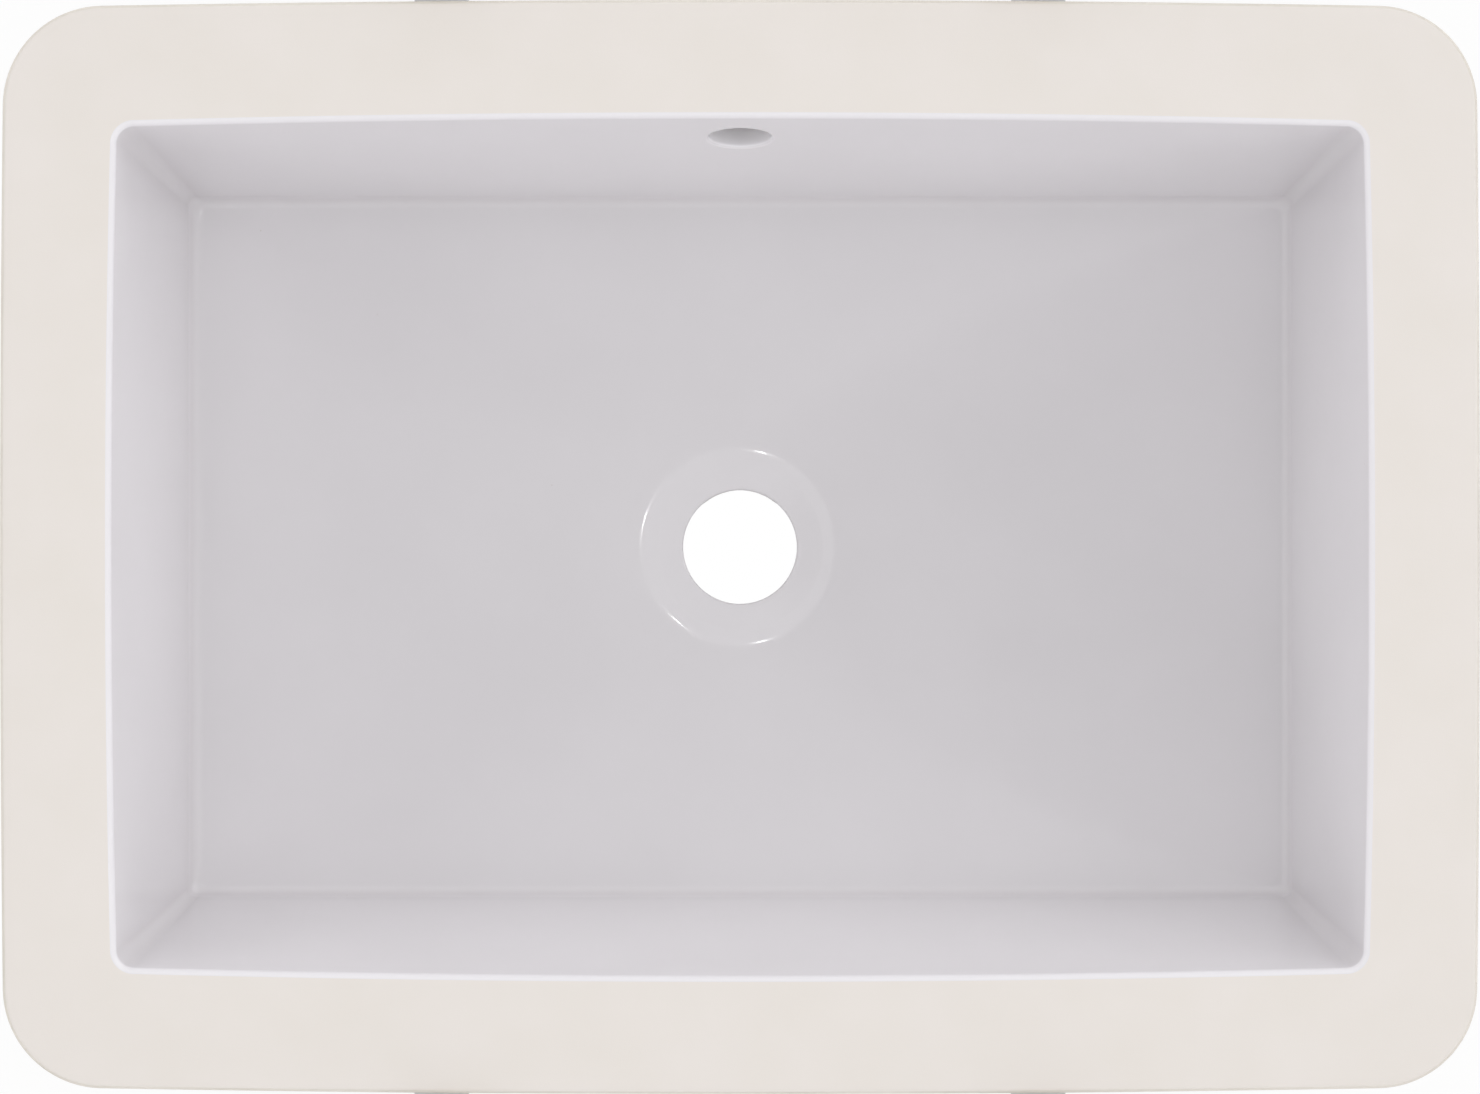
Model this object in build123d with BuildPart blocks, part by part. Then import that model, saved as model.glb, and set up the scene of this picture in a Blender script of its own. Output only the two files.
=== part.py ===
from build123d import *
import math
import os

os.makedirs("parts", exist_ok=True)

# An undermount washbasin of vitreous china with the four clips that hold it under a counter.
# Frame: +Z up, +Y towards the back wall with the overflow hole, +X to the user's right.
# The origin is the middle of the basin, in the plane of the rim's ground face.
# All sizes are in millimetres and all angles in degrees.

# Rim: a flat flange whose ground face bears on the underside of the counter
overall_length = 595.0
overall_width = 440.0
outline_corner = 39.0
long_side_bow = 3.1
short_side_bow = 1.5
rim_thickness = 14.0
rim_top_round = 2.0
rim_under_round = 4.0

# Opening: measured to the sharp edge that the lip rounds off
side_rim_width = 44.0
front_rim_width = 47.0
opening_corner = 7.0
opening_long_bow = 3.4
opening_short_bow = 2.3
lip_round = 2.5

# Bowl: four walls that lean in to a straight-sided floor, which falls to the outlet
wall_depth = 105.0
side_wall_run = 31.5
front_wall_run = 32.5
floor_corner = 4.0
floor_fall = 6.0
crease_round = 5.0
wall_china = 10.0
floor_china = 11.0
heel_round = 16.0
web_round = 7.0

# Outlet: a shallow seat, a bore for the waste and a boss under the floor
seat_diameter = 78.0
seat_depth = 3.0
outlet_diameter = 46.0
outlet_china = 14.0
outlet_foot_round = 2.0
overall_height = 170.0

# Overflow: a hole through the back wall and a duct from behind it down to the outlet
overflow_diameter = 25.0
overflow_centre_depth = 27.5
overflow_lip_round = 1.5
duct_width = 50.0
duct_depth = 14.0
duct_china = 8.0
duct_elbow_round = 12.0
duct_edge_round = 6.0
port_width = 28.0

# Fixing clips: where their studs stand
clip_spacing = 240.0
stud_offset = 14.0

# Stud and its anchor in the counter
stud_diameter = 6.0
stud_pitch = 1.0
stud_past_anchor = 1.0
stud_spare = 3.1
clip_drop = 10.0
anchor_diameter = 10.0
anchor_length = 15.0
anchor_slit_width = 1.2
anchor_slit_length = 7.5
anchor_chamfer = 1.0
thread_clearance = 0.05

# Clip: a bent steel strip, with a rubber pad on its finger
strip_width = 22.0
strip_thickness = 3.0
strip_bend = 2.0
strip_edge_round = 0.5
finger_reach = 22.0
finger_corner = 5.0
riser_offset = 12.0
toe_length = 10.0
toe_corner = 3.0
clip_hole_clearance = 0.3
pad_length = 18.0
pad_thickness = 3.0
pad_margin = 1.5
pad_corner = 3.0
pad_gap = 0.3

# Washer and wing nut
washer_diameter = 18.0
washer_thickness = 1.6
washer_clearance = 0.2
washer_chamfer = 0.3
nut_base_diameter = 14.0
nut_end_diameter = 11.0
nut_height = 9.0
wing_span = 33.0
wing_drop = 16.0
wing_width = 7.0
wing_thickness = 2.6
wing_round = 2.5
wing_edge_round = 0.8

# Worked out from the sizes above
opening_length = overall_length - 2 * side_rim_width
opening_width = overall_width - 2 * front_rim_width
floor_length = opening_length - 2 * side_wall_run
floor_width = opening_width - 2 * front_wall_run
side_draft = math.atan2(side_wall_run, wall_depth)
front_draft = math.atan2(front_wall_run, wall_depth)
side_china_plan = wall_china / math.cos(side_draft)
front_china_plan = wall_china / math.cos(front_draft)
seat_radius = seat_diameter / 2
outlet_radius = outlet_diameter / 2
boss_radius = outlet_radius + outlet_china
seat_floor_depth = wall_depth + floor_fall
underside_depth = wall_depth + floor_china
stud_radius = stud_diameter / 2
stud_row = overall_width / 2 + stud_offset
strip_top = -(rim_thickness + pad_gap + pad_thickness)
strip_bottom = strip_top - strip_thickness
finger_end = -(stud_offset + finger_reach)
nut_top = strip_bottom - washer_thickness
stud_bottom = nut_top - nut_height - clip_drop - stud_spare
stud_chamfer = 0.65 * stud_pitch
# A round of this much less than half a square's side leaves it a circle with four tiny flats
flat = 0.1


def bowed_outline(length, width, long_bow, short_bow, corner):
    """A rectangle whose sides swell outwards by the bows, with rounded corners."""
    x = length / 2
    y = width / 2
    corner_x = x - short_bow
    corner_y = y - long_bow
    with BuildSketch() as outline:
        with BuildLine():
            ThreePointArc((-corner_x, -corner_y), (0, -y), (corner_x, -corner_y))
            ThreePointArc((corner_x, -corner_y), (x, 0), (corner_x, corner_y))
            ThreePointArc((corner_x, corner_y), (0, y), (-corner_x, corner_y))
            ThreePointArc((-corner_x, corner_y), (-x, 0), (-corner_x, -corner_y))
        make_face()
        fillet(outline.vertices(), corner)
    return outline.sketch


def opening_outline(plan_x, plan_y):
    """The opening's outline, moved outwards in plan by the two amounts."""
    return bowed_outline(
        opening_length + 2 * plan_x,
        opening_width + 2 * plan_y,
        opening_long_bow,
        opening_short_bow,
        opening_corner + (plan_x + plan_y) / 2,
    )


def side_run_at(depth):
    """How far a side wall has leaned in at a depth."""
    return side_wall_run * depth / wall_depth


def front_run_at(depth):
    """How far the front or back wall has leaned in at a depth."""
    return front_wall_run * depth / wall_depth


def back_wall(depth, plan):
    """A point in the YZ plane: the back wall's inner face moved outwards in plan."""
    return (opening_width / 2 - front_run_at(depth) + plan, -depth)


under_length = floor_length + 2 * (side_china_plan - side_run_at(floor_china))
under_width = floor_width + 2 * (front_china_plan - front_run_at(floor_china))

# The hollow of the bowl, which the china surrounds
with BuildPart() as hollow:
    with BuildSketch(Plane.XY):
        add(opening_outline(0, 0))
    with BuildSketch(Plane.XY.offset(-wall_depth)):
        RectangleRounded(floor_length, floor_width, floor_corner)
    loft(ruled=True)
    with BuildSketch(Plane.XY.offset(-wall_depth)):
        RectangleRounded(floor_length, floor_width, floor_corner)
    with BuildSketch(Plane.XY.offset(-seat_floor_depth)):
        RectangleRounded(seat_diameter, seat_diameter, seat_radius - flat)
    loft(ruled=True)
    crease = hollow.edges().filter_by(lambda edge: abs(edge.center().Z + wall_depth) < 0.01)
    fillet(crease, crease_round)

# The bowl, cast in one mould with its rim and its outlet boss
with BuildPart() as bowl:
    with BuildSketch(Plane.XY.offset(-rim_thickness)):
        add(bowed_outline(overall_length, overall_width, long_side_bow, short_side_bow, outline_corner))
    extrude(amount=rim_thickness)
    fillet(bowl.edges().group_by(Axis.Z)[-1], rim_top_round)
    fillet(bowl.edges().group_by(Axis.Z)[0], rim_under_round)
    # The walls' outside starts within the rim and stands the china's thickness off the hollow
    with BuildSketch(Plane.XY.offset(-rim_thickness / 2)):
        add(
            opening_outline(
                side_china_plan - side_run_at(rim_thickness / 2),
                front_china_plan - front_run_at(rim_thickness / 2),
            )
        )
    with BuildSketch(Plane.XY.offset(-underside_depth)):
        RectangleRounded(under_length, under_width, floor_corner + wall_china)
    loft(ruled=True)
    heel = bowl.edges().filter_by(lambda edge: abs(edge.center().Z + underside_depth) < 0.01)
    fillet(heel, heel_round)
    web = bowl.edges().filter_by(lambda edge: abs(edge.center().Z + rim_thickness) < 0.01)
    web = web.filter_by(lambda edge: abs(edge.center().X) < overall_length / 2 - side_rim_width / 2)
    web = web.filter_by(lambda edge: abs(edge.center().Y) < overall_width / 2 - front_rim_width / 2)
    fillet(web, web_round)
    # The floor's underside falls with the floor and ends on the outlet boss
    with BuildSketch(Plane.XY.offset(-underside_depth)):
        RectangleRounded(under_length - 2 * heel_round, under_width - 2 * heel_round, floor_corner)
    with BuildSketch(Plane.XY.offset(-underside_depth - floor_fall)):
        RectangleRounded(2 * boss_radius, 2 * boss_radius, boss_radius - flat)
    loft(ruled=True)
    with BuildSketch(Plane.XY.offset(-overall_height)):
        Circle(boss_radius)
    extrude(amount=overall_height - underside_depth)
    fillet(bowl.edges().group_by(Axis.Z)[0], outlet_foot_round)
    add(hollow.part, mode=Mode.SUBTRACT)
    lip = bowl.edges().group_by(Axis.Z)[-1]
    lip = lip.filter_by(lambda edge: abs(edge.center().X) < opening_length / 2 + 1)
    lip = lip.filter_by(lambda edge: abs(edge.center().Y) < opening_width / 2 + 1)
    fillet(lip, lip_round)
    # The waste's seat is a shallow cone from the floor down to the bore
    with BuildSketch(Plane.XZ):
        with BuildLine():
            Polyline(
                (0, -seat_floor_depth + seat_depth),
                (seat_radius, -seat_floor_depth + seat_depth),
                (seat_radius, -seat_floor_depth),
                (outlet_radius, -seat_floor_depth - seat_depth),
                (outlet_radius, -overall_height),
                (0, -overall_height),
                close=True,
            )
        make_face()
    revolve(axis=Axis.Z, mode=Mode.SUBTRACT)
    # The overflow hole is square to the back wall
    overflow_y, overflow_z = back_wall(overflow_centre_depth, 0)
    overflow_plane = Plane(
        origin=(0, overflow_y, overflow_z),
        x_dir=(1, 0, 0),
        z_dir=(0, -math.cos(front_draft), math.sin(front_draft)),
    )
    with BuildSketch(overflow_plane.offset(-1.5 * wall_china)):
        Circle(overflow_diameter / 2)
    extrude(amount=2 * wall_china, mode=Mode.SUBTRACT)
    round_edges = bowl.edges().filter_by(GeomType.LINE, reverse=True)
    fillet(round_edges.sort_by_distance(overflow_plane.origin)[0], overflow_lip_round)
    # A port lets the duct into the bore, just under the floor
    port_top = underside_depth + floor_fall
    with BuildSketch(Plane.XZ):
        with Locations((0, -port_top - duct_depth / 2)):
            Rectangle(port_width, duct_depth)
    extrude(amount=-2 * boss_radius, mode=Mode.SUBTRACT)
bowl.part.label = "bowl"
export_step(bowl.part, "parts/bowl.step")


def is_outer(edge):
    """Whether an edge of the trough lies away from the china it is luted to."""
    depth = -edge.center().Z
    behind = edge.center().Y > back_wall(depth, front_china_plan + duct_depth)[0]
    return behind or depth > underside_depth + floor_fall + duct_depth


# The overflow duct, a trough luted to the back wall and under the floor
with BuildPart() as duct:
    inner = wall_china / 3
    elbow_depth = underside_depth + duct_depth
    outer_elbow = back_wall(elbow_depth + duct_china, front_china_plan + duct_depth + duct_china)
    with BuildSketch(Plane.YZ) as trough:
        with BuildLine():
            Polyline(
                back_wall(rim_thickness, inner),
                back_wall(rim_thickness, front_china_plan + duct_depth + duct_china),
                outer_elbow,
                (boss_radius - inner, -elbow_depth - duct_china - floor_fall),
                (boss_radius - inner, -underside_depth - floor_fall + inner),
                back_wall(wall_depth + inner, inner),
                close=True,
            )
        make_face()
        fillet(trough.vertices().sort_by_distance(outer_elbow)[0], duct_elbow_round + duct_china)
    extrude(amount=duct_width / 2 + duct_china, both=True)
    trough_edges = duct.edges().filter_by(Axis.X, reverse=True)
    trough_edges = trough_edges.filter_by(is_outer)
    fillet(trough_edges, duct_edge_round)
    inner_elbow = back_wall(elbow_depth, front_china_plan + duct_depth)
    with BuildSketch(Plane.YZ) as channel:
        with BuildLine():
            Polyline(
                back_wall(rim_thickness, inner),
                back_wall(rim_thickness, front_china_plan + duct_depth),
                inner_elbow,
                (boss_radius - inner, -elbow_depth - floor_fall),
                (boss_radius - inner, -underside_depth - floor_fall + inner),
                back_wall(wall_depth + inner, inner),
                close=True,
            )
        make_face()
        fillet(channel.vertices().sort_by_distance(inner_elbow)[0], duct_elbow_round)
    extrude(amount=duct_width / 2, both=True, mode=Mode.SUBTRACT)
    add(bowl.part, mode=Mode.SUBTRACT)
duct.part.label = "overflow_duct"
export_step(duct.part, "parts/overflow_duct.step")


def clip_plane(x, side):
    """The upright plane of one clip: its first axis points away from the basin, its second up."""
    return Plane(origin=(x, side * stud_row, 0), x_dir=(0, side, 0), z_dir=(side, 0, 0))


def make_anchor(name, x, side):
    """A brass sleeve in the counter, slit crosswise at its top so that the stud spreads it."""
    with BuildPart() as anchor:
        with BuildSketch(Plane.XY):
            with Locations((x, side * stud_row)):
                Circle(anchor_diameter / 2)
                Circle(stud_radius + thread_clearance, mode=Mode.SUBTRACT)
        extrude(amount=anchor_length)
        top_edges = anchor.edges().group_by(Axis.Z)[-1]
        chamfer(top_edges.sort_by(SortBy.LENGTH)[-1], anchor_chamfer)
        with BuildSketch(Plane.XY.offset(anchor_length - anchor_slit_length)):
            with Locations((x, side * stud_row)):
                Rectangle(2 * anchor_diameter, anchor_slit_width)
                Rectangle(anchor_slit_width, 2 * anchor_diameter)
        extrude(amount=anchor_slit_length, mode=Mode.SUBTRACT)
    anchor.part.label = name
    export_step(anchor.part, f"parts/{name}.step")


def make_stud(name, x, side):
    """A threaded stud that screws up into the anchor and hangs below the counter."""
    with BuildPart() as stud:
        with BuildSketch(Plane.XY.offset(stud_bottom)):
            with Locations((x, side * stud_row)):
                Circle(stud_radius)
        extrude(amount=anchor_length + stud_past_anchor - stud_bottom)
        chamfer(stud.edges().group_by(Axis.Z)[0], stud_chamfer)
        chamfer(stud.edges().group_by(Axis.Z)[-1], stud_chamfer)
    stud.part.label = name
    export_step(stud.part, f"parts/{name}.step")


def make_clip(name, x, side):
    """A strip with its finger under the rim, a riser outside it and a toe on the counter."""
    riser_outer = riser_offset + strip_thickness
    toe_end = riser_outer + toe_length
    bends = (
        ((riser_outer, strip_bottom), strip_bend + strip_thickness),
        ((riser_offset, 0), strip_bend + strip_thickness),
        ((riser_outer, -strip_thickness), strip_bend),
        ((riser_offset, strip_top), strip_bend),
    )
    with BuildPart() as clip:
        with BuildSketch(clip_plane(x, side)) as strip:
            with BuildLine():
                Polyline(
                    (finger_end, strip_bottom),
                    (riser_outer, strip_bottom),
                    (riser_outer, -strip_thickness),
                    (toe_end, -strip_thickness),
                    (toe_end, 0),
                    (riser_offset, 0),
                    (riser_offset, strip_top),
                    (finger_end, strip_top),
                    close=True,
                )
            make_face()
            for point, radius in bends:
                fillet(strip.vertices().sort_by_distance(point)[0], radius)
        extrude(amount=strip_width / 2, both=True)
        ends = clip.edges().filter_by(Axis.Z).sort_by(lambda edge: side * edge.center().Y)
        fillet(ends[:2], finger_corner)
        ends = clip.edges().filter_by(Axis.Z).sort_by(lambda edge: side * edge.center().Y)
        fillet(ends[-2:], toe_corner)
        strip_sides = clip.faces().filter_by(Axis.X)
        fillet(strip_sides.edges(), strip_edge_round)
        with BuildSketch(Plane.XY.offset(strip_bottom)):
            with Locations((x, side * stud_row)):
                Circle(stud_radius + clip_hole_clearance)
        extrude(amount=strip_thickness, mode=Mode.SUBTRACT)
    clip.part.label = name
    export_step(clip.part, f"parts/{name}.step")


def make_pad(name, x, side):
    """A rubber pad bonded to the finger, so that steel never bears on china."""
    pad_middle = finger_end + pad_margin + pad_length / 2
    with BuildPart() as pad:
        with BuildSketch(Plane.XY.offset(strip_top)):
            with Locations((x, side * (stud_row + pad_middle))):
                RectangleRounded(strip_width - 2 * pad_margin, pad_length, pad_corner)
        extrude(amount=pad_thickness)
    pad.part.label = name
    export_step(pad.part, f"parts/{name}.step")


def make_washer(name, x, side):
    """A flat washer between the clip and the wing nut."""
    with BuildPart() as washer:
        with BuildSketch(Plane.XY.offset(nut_top)):
            with Locations((x, side * stud_row)):
                Circle(washer_diameter / 2)
                Circle(stud_radius + washer_clearance, mode=Mode.SUBTRACT)
        extrude(amount=washer_thickness)
        outer_edges = washer.edges().sort_by(SortBy.LENGTH)[-2:]
        chamfer(outer_edges, washer_chamfer)
    washer.part.label = name
    export_step(washer.part, f"parts/{name}.step")


def make_wing_nut(name, x, side):
    """A tapered hub with two wings that sweep down and out from it."""
    tip = wing_span / 2
    hub_side = stud_radius + 1
    wing_corners = ((tip, wing_width - wing_drop), (tip, -wing_drop), (tip - wing_width, -wing_drop))
    with BuildPart() as nut:
        wing_plane = Plane(origin=(x, side * stud_row, nut_top), x_dir=(1, 0, 0), z_dir=(0, -1, 0))
        with BuildSketch(wing_plane) as wing:
            with BuildLine():
                Polyline(
                    (hub_side, -washer_thickness),
                    *wing_corners,
                    (hub_side, -nut_height),
                    close=True,
                )
            make_face()
            for point in wing_corners:
                fillet(wing.vertices().sort_by_distance(point)[0], wing_round)
            mirror(about=Plane.YZ)
        extrude(amount=wing_thickness / 2, both=True)
        fillet(nut.edges().filter_by(Axis.Y, reverse=True), wing_edge_round)
        with BuildSketch(wing_plane):
            with BuildLine():
                Polyline(
                    (0, 0),
                    (nut_base_diameter / 2, 0),
                    (nut_end_diameter / 2, -nut_height),
                    (0, -nut_height),
                    close=True,
                )
            make_face()
        revolve(axis=Axis(wing_plane.origin, (0, 0, 1)))
        with BuildSketch(Plane.XY.offset(nut_top - wing_drop)):
            with Locations((x, side * stud_row)):
                Circle(stud_radius + thread_clearance)
        extrude(amount=wing_drop, mode=Mode.SUBTRACT)
    nut.part.label = name
    export_step(nut.part, f"parts/{name}.step")


for end, x in (("left", -clip_spacing / 2), ("right", clip_spacing / 2)):
    for row, side in (("front", -1), ("back", 1)):
        make_anchor(f"anchor_{row}_{end}", x, side)
        make_stud(f"stud_{row}_{end}", x, side)
        make_clip(f"clip_{row}_{end}", x, side)
        make_pad(f"pad_{row}_{end}", x, side)
        make_washer(f"washer_{row}_{end}", x, side)
        make_wing_nut(f"wing_nut_{row}_{end}", x, side)
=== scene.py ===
import math

import bpy
import numpy as np
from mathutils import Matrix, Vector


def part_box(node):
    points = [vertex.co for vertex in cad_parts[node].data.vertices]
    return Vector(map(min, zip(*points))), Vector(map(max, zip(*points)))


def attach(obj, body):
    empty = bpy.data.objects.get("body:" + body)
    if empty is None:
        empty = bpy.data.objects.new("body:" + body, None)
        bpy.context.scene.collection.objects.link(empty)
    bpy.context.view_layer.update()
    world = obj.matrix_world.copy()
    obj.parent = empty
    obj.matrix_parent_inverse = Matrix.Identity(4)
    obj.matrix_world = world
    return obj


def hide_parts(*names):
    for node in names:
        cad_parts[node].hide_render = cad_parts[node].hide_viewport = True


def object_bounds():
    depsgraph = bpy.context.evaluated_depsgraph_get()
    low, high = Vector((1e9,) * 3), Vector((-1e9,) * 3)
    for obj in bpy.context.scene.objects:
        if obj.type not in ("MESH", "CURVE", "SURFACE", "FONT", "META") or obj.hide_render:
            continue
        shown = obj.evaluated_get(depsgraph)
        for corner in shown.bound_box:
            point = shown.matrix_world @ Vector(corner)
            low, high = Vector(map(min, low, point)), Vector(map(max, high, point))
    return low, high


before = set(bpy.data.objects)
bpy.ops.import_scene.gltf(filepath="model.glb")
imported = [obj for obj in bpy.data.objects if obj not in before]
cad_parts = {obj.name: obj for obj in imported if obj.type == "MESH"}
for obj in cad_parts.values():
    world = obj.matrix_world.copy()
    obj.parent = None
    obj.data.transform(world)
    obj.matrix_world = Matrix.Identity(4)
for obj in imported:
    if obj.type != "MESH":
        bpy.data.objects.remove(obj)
CAD_BOX = [list(corner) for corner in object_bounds()]

bl_info = {
    "name": "Undermount Washbasin",
    "version": (1, 0, 0),
    "blender": (4, 5, 0),
    "location": "3D View > Sidebar > Washbasin",
    "description": "Dresses the packed undermount washbasin: glazed china, fixing clips and studio",
    "category": "Object",
}

MM = 0.001
PLACES = [f"{row}_{end}" for row in ("front", "back") for end in ("left", "right")]


# Finishes


def linear(hex_colour):
    """An sRGB hex value such as "E7E1DC" as the linear RGBA that a shader socket holds."""
    srgb = np.array([int(hex_colour[i : i + 2], 16) for i in (0, 2, 4)]) / 255
    rgb = np.where(srgb <= 0.04045, srgb / 12.92, ((srgb + 0.055) / 1.055) ** 2.4)
    return (*rgb.tolist(), 1.0)


def add_node(tree, kind, settings=None, values=None, links=None):
    """Adds a shader node: settings are its own properties, values its input sockets' values and
    links its input sockets' sources, each source a node's output socket."""
    node = tree.nodes.new(kind)
    for name, value in (settings or {}).items():
        setattr(node, name, value)
    for name, value in (values or {}).items():
        node.inputs[name].default_value = value
    for name, source in (links or {}).items():
        tree.links.new(source, node.inputs[name])
    return node


def new_material(name, **shader):
    """A material with one Principled shader whose sockets hold the values given, by socket name.
    Returns it, its tree, that shader and the output that holds a point's Object coordinates."""
    material = bpy.data.materials.new(name)
    material.use_nodes = True
    tree = material.node_tree
    principled = tree.nodes["Principled BSDF"]
    for socket, value in shader.items():
        principled.inputs[socket.replace("_", " ")].default_value = value
    place = add_node(tree, "ShaderNodeTexCoord").outputs["Object"]
    return material, tree, principled, place


def clouded(tree, place, tones, patch_mm, detail, span):
    """Cloudy patches about patch_mm across: the value of noise between the two ends of the span is
    the share of the second of two sRGB tones. Returns the colour and that share."""
    cloud = add_node(
        tree,
        "ShaderNodeTexNoise",
        values={"Scale": 1 / (patch_mm * MM), "Detail": detail},
        links={"Vector": place},
    )
    share = add_node(
        tree,
        "ShaderNodeMapRange",
        values={"From Min": span[0], "From Max": span[1]},
        links={"Value": cloud.outputs["Fac"]},
    ).outputs["Result"]
    colour = add_node(
        tree,
        "ShaderNodeMix",
        {"data_type": "RGBA"},
        {"A": linear(tones[0]), "B": linear(tones[1])},
        {"Factor": share},
    ).outputs["Result"]
    return colour, share


def relief(tree, place, *layers):
    """Bumps laid one over another. Each layer is noise with features of a size and of a height in
    mm, its detail and roughness, and the factors that its places are scaled by along X, Y and Z."""
    links = {}
    for size_mm, height_mm, detail, roughness, scale in layers:
        stretched = add_node(
            tree, "ShaderNodeMapping", values={"Scale": scale}, links={"Vector": place}
        )
        height = add_node(
            tree,
            "ShaderNodeTexNoise",
            values={"Scale": 1 / (size_mm * MM), "Detail": detail, "Roughness": roughness},
            links={"Vector": stretched.outputs["Vector"]},
        )
        links["Height"] = height.outputs["Fac"]
        raised = add_node(
            tree,
            "ShaderNodeBump",
            values={"Strength": 1.0, "Distance": height_mm * MM},
            links=links,
        )
        links["Normal"] = raised.outputs["Normal"]
    return links["Normal"]


def glazed_vitreous_china(look):
    # Vitreous china under a fired, opaque white glaze: a deep wet gloss with a faint orange peel,
    # soft cloudy tone and the odd pin-sized speck that fires through
    material, tree, shader, place = new_material(
        "glazed_vitreous_china",
        IOR=1.52,
        Roughness=0.10,
        Coat_Weight=0.35,
        Coat_Roughness=0.03,
    )
    tones = look.glaze_shade, look.glaze_colour
    tone, _ = clouded(tree, place, tones, patch_mm=60, detail=2, span=(0.35, 0.65))
    # specks about 0.5 mm across and 28 mm apart: solid and gone are distances from the middle of
    # one, as shares of the distance apart
    apart, solid, gone = 28 * MM, 0.006, 0.012
    cell = add_node(
        tree, "ShaderNodeTexVoronoi", values={"Scale": 1 / apart}, links={"Vector": place}
    )
    speck = add_node(
        tree,
        "ShaderNodeMapRange",
        values={"From Min": solid, "From Max": gone, "To Min": 0.35, "To Max": 0},
        links={"Value": cell.outputs["Distance"]},
    )
    # painted light in the glaze's colour, by a point attribute: painted shade, grey, in the crease
    # at the wall's foot and down the wall's corners, and a painted highlight, whiter, on the lip's
    # edge and in the overflow's bore
    light_paint = add_node(tree, "ShaderNodeAttribute", {"attribute_name": "painted_light"})
    shade_amount, highlight_amount = (
        add_node(
            tree,
            "ShaderNodeMapRange",
            values={"From Max": full},
            links={"Value": light_paint.outputs["Fac"]},
        )
        for full in (1, -1)
    )
    for cover, hex_colour in (
        (speck, "A89C8C"),
        (shade_amount, look.glaze_pooled),
        (highlight_amount, look.glaze_thin),
    ):
        tone = add_node(
            tree,
            "ShaderNodeMix",
            {"data_type": "RGBA"},
            {"B": linear(hex_colour)},
            {"A": tone, "Factor": cover.outputs["Result"]},
        ).outputs["Result"]
    tree.links.new(tone, shader.inputs["Base Color"])
    peel = relief(tree, place, (7, 0.012, 2, 0.5, (1, 1, 1)))
    tree.links.new(peel, shader.inputs["Normal"])
    tree.links.new(peel, shader.inputs["Coat Normal"])
    return material


def ground_china(look):
    # The rim's face after it is ground flat on a disc: unglazed cream body, dead matt, with a fine
    # grit and faint wide swirls
    material, tree, shader, place = new_material("ground_china", IOR=1.45, Roughness=0.82)
    tones = look.ground_shade, look.ground_colour
    tone, _ = clouded(tree, place, tones, patch_mm=35, detail=2, span=(0.3, 0.7))
    swirl = 1.2, 0.01, 2, 0.5, (0.15, 1, 1)
    grit = 0.5, 0.03, 4, 0.5, (1, 1, 1)
    tree.links.new(tone, shader.inputs["Base Color"])
    tree.links.new(relief(tree, place, swirl, grit), shader.inputs["Normal"])
    return material


def bare_cast_china(look):
    # The outside as it leaves the plaster mould: bare fired body, sponged, with soft waves, pores
    # and a dusty, slightly warmer tone in patches
    material, tree, shader, place = new_material("bare_cast_china", IOR=1.45, Roughness=0.88)
    tones = look.cast_shade, look.cast_colour
    tone, _ = clouded(tree, place, tones, patch_mm=45, detail=4, span=(0.35, 0.65))
    sponged = 14, 0.25, 3, 0.5, (1, 1, 1)
    pores = 0.9, 0.06, 5, 0.65, (1, 1, 1)
    tree.links.new(tone, shader.inputs["Base Color"])
    tree.links.new(relief(tree, place, sponged, pores), shader.inputs["Normal"])
    return material


def plated_or_bare_metal(name, tones, patch_mm, detail, dull, bright, skin):
    """A metal whose patches go from the first tone at roughness dull to the second at roughness
    bright, with a skin that is one layer of relief."""
    material, tree, shader, place = new_material(name, Metallic=1.0)
    tone, share = clouded(tree, place, tones, patch_mm, detail, (0.3, 0.7))
    roughness = add_node(
        tree,
        "ShaderNodeMapRange",
        values={"To Min": dull, "To Max": bright},
        links={"Value": share},
    )
    tree.links.new(tone, shader.inputs["Base Color"])
    tree.links.new(roughness.outputs["Result"], shader.inputs["Roughness"])
    tree.links.new(relief(tree, place, skin), shader.inputs["Normal"])
    return material


def turned_brass(look):
    # Free-cutting brass turned on a lathe: warm yellow metal with fine rings from the tool and a
    # dulled skin
    rings = 0.6, 0.03, 2, 0.5, (0.02, 0.02, 1)
    tones = "B3995F", "CDB47A"
    return plated_or_bare_metal(
        "turned_brass", tones, patch_mm=5, detail=2, dull=0.42, bright=0.28, skin=rings
    )


def zinc_plated_steel(look):
    # Turned or punched steel with bright zinc plating: cool silver, a slight milky bloom
    skin = 0.5, 0.008, 2, 0.5, (1, 1, 1)
    tones = "A9ADB2", "C6C9CC"
    return plated_or_bare_metal(
        "zinc_plated_steel", tones, patch_mm=4, detail=3, dull=0.36, bright=0.22, skin=skin
    )


def zinc_plated_strip(look):
    # Cold-rolled steel strip, bent and zinc plated: satin silver with fine rolling lines along its
    # length and a bloom where the plating lies thicker
    rolled = 0.4, 0.012, 2, 0.5, (1, 0.03, 0.03)
    tones = "9FA3A8", "BEC1C4"
    return plated_or_bare_metal(
        "zinc_plated_strip", tones, patch_mm=9, detail=3, dull=0.42, bright=0.28, skin=rolled
    )


def zinc_casting(look):
    # Die-cast zinc as it comes from the tumbler: soft grey metal, fine pitted skin
    pitted = 0.6, 0.03, 4, 0.5, (1, 1, 1)
    tones = "8E9296", "ABAFB2"
    return plated_or_bare_metal(
        "zinc_casting", tones, patch_mm=3, detail=4, dull=0.55, bright=0.4, skin=pitted
    )


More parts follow.
